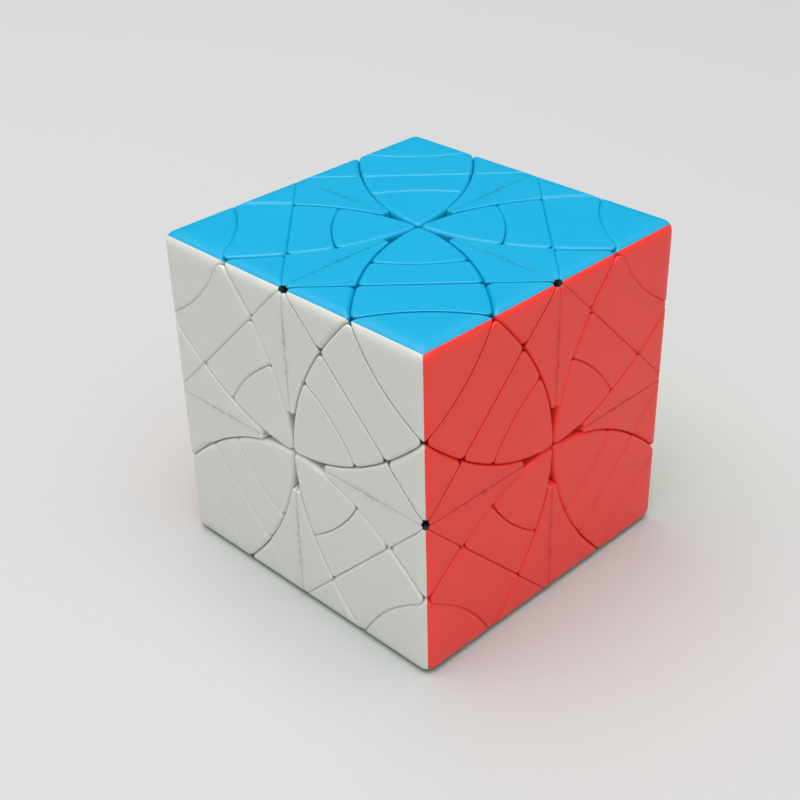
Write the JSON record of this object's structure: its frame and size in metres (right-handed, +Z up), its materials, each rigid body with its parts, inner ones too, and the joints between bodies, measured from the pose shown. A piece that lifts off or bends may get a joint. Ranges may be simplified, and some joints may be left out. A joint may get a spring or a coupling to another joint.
{
  "type": "hybrid twisty puzzle cube",
  "caption": "Cube-shaped stickerless twisty puzzle: curved and flat cuts let halves and edge caps turn on a sprung, screwed inner core.",
  "frame": {"origin": "centre of the cube, where all turning axes cross", "axes": "+Z up out of the top face, +X out of the right-hand face, -Y out of the front face"},
  "size_m": [0.064, 0.064, 0.064],
  "materials": {
    "corner_abs": "satin",
    "edge_wedge_abs": "satin",
    "strip_abs": "satin",
    "petal_tip_abs": "satin",
    "fin_abs": "satin",
    "inner_abs": "matte",
    "screw_steel": "zinc plated",
    "spring_steel": "drawn wire",
    "washer_steel": "stamped"
  },
  "bodies": {
    "top_right_cap": {"top_right_cap_corners": "corner_abs", "top_right_cap_wedges": "edge_wedge_abs", "top_right_cap_outer_strips": "strip_abs", "top_right_cap_inner_strips": "strip_abs", "top_right_cap_petal_tips": "petal_tip_abs", "top_right_cap_fins": "fin_abs", "top_right_cap_hub": "inner_abs"},
    "top_left_cap": {"top_left_cap_corners": "corner_abs", "top_left_cap_wedges": "edge_wedge_abs", "top_left_cap_outer_strips": "strip_abs", "top_left_cap_inner_strips": "strip_abs", "top_left_cap_petal_tips": "petal_tip_abs", "top_left_cap_fins": "fin_abs", "top_left_cap_hub": "inner_abs"},
    "bottom_front_cap": {"bottom_front_cap_corners": "corner_abs", "bottom_front_cap_wedges": "edge_wedge_abs", "bottom_front_cap_outer_strips": "strip_abs", "bottom_front_cap_inner_strips": "strip_abs", "bottom_front_cap_petal_tips": "petal_tip_abs", "bottom_front_cap_fins": "fin_abs", "bottom_front_cap_hub": "inner_abs"},
    "bottom_back_cap": {"bottom_back_cap_corners": "corner_abs", "bottom_back_cap_wedges": "edge_wedge_abs", "bottom_back_cap_outer_strips": "strip_abs", "bottom_back_cap_inner_strips": "strip_abs", "bottom_back_cap_petal_tips": "petal_tip_abs", "bottom_back_cap_fins": "fin_abs", "bottom_back_cap_hub": "inner_abs"},
    "upper_half": {"upper_half_wedges": "edge_wedge_abs", "upper_half_outer_strips": "strip_abs", "upper_half_inner_strips": "strip_abs", "upper_half_petal_tips": "petal_tip_abs", "upper_half_fins": "fin_abs", "upper_half_hubs": "inner_abs", "upper_edge_screws": "screw_steel", "upper_edge_springs": "spring_steel", "upper_edge_washers": "washer_steel", "upper_core": "inner_abs"},
    "lower_half": {"lower_half_wedges": "edge_wedge_abs", "lower_half_outer_strips": "strip_abs", "lower_half_inner_strips": "strip_abs", "lower_half_petal_tips": "petal_tip_abs", "lower_half_fins": "fin_abs", "lower_half_hubs": "inner_abs", "lower_edge_screws": "screw_steel", "lower_edge_springs": "spring_steel", "lower_edge_washers": "washer_steel", "lower_core": "inner_abs", "centre_screw": "screw_steel", "centre_spring": "spring_steel", "centre_washer": "washer_steel"}
  },
  "joints": [
    {"name": "upper_half_turn", "type": "hinge", "parent": "lower_half", "child": "upper_half", "pos_m": [0, 0, 0], "axis": [0, 0, 1], "continuous": true},
    {"name": "top_right_cap_turn", "type": "hinge", "parent": "upper_half", "child": "top_right_cap", "pos_m": [0, 0, 0], "axis": [0.7071, 0, 0.7071], "continuous": true},
    {"name": "top_left_cap_turn", "type": "hinge", "parent": "upper_half", "child": "top_left_cap", "pos_m": [0, 0, 0], "axis": [-0.7071, 0, 0.7071], "continuous": true},
    {"name": "bottom_front_cap_turn", "type": "hinge", "parent": "lower_half", "child": "bottom_front_cap", "pos_m": [0, 0, 0], "axis": [0, -0.7071, -0.7071], "continuous": true},
    {"name": "bottom_back_cap_turn", "type": "hinge", "parent": "lower_half", "child": "bottom_back_cap", "pos_m": [0, 0, 0], "axis": [0, 0.7071, -0.7071], "continuous": true}
  ]
}
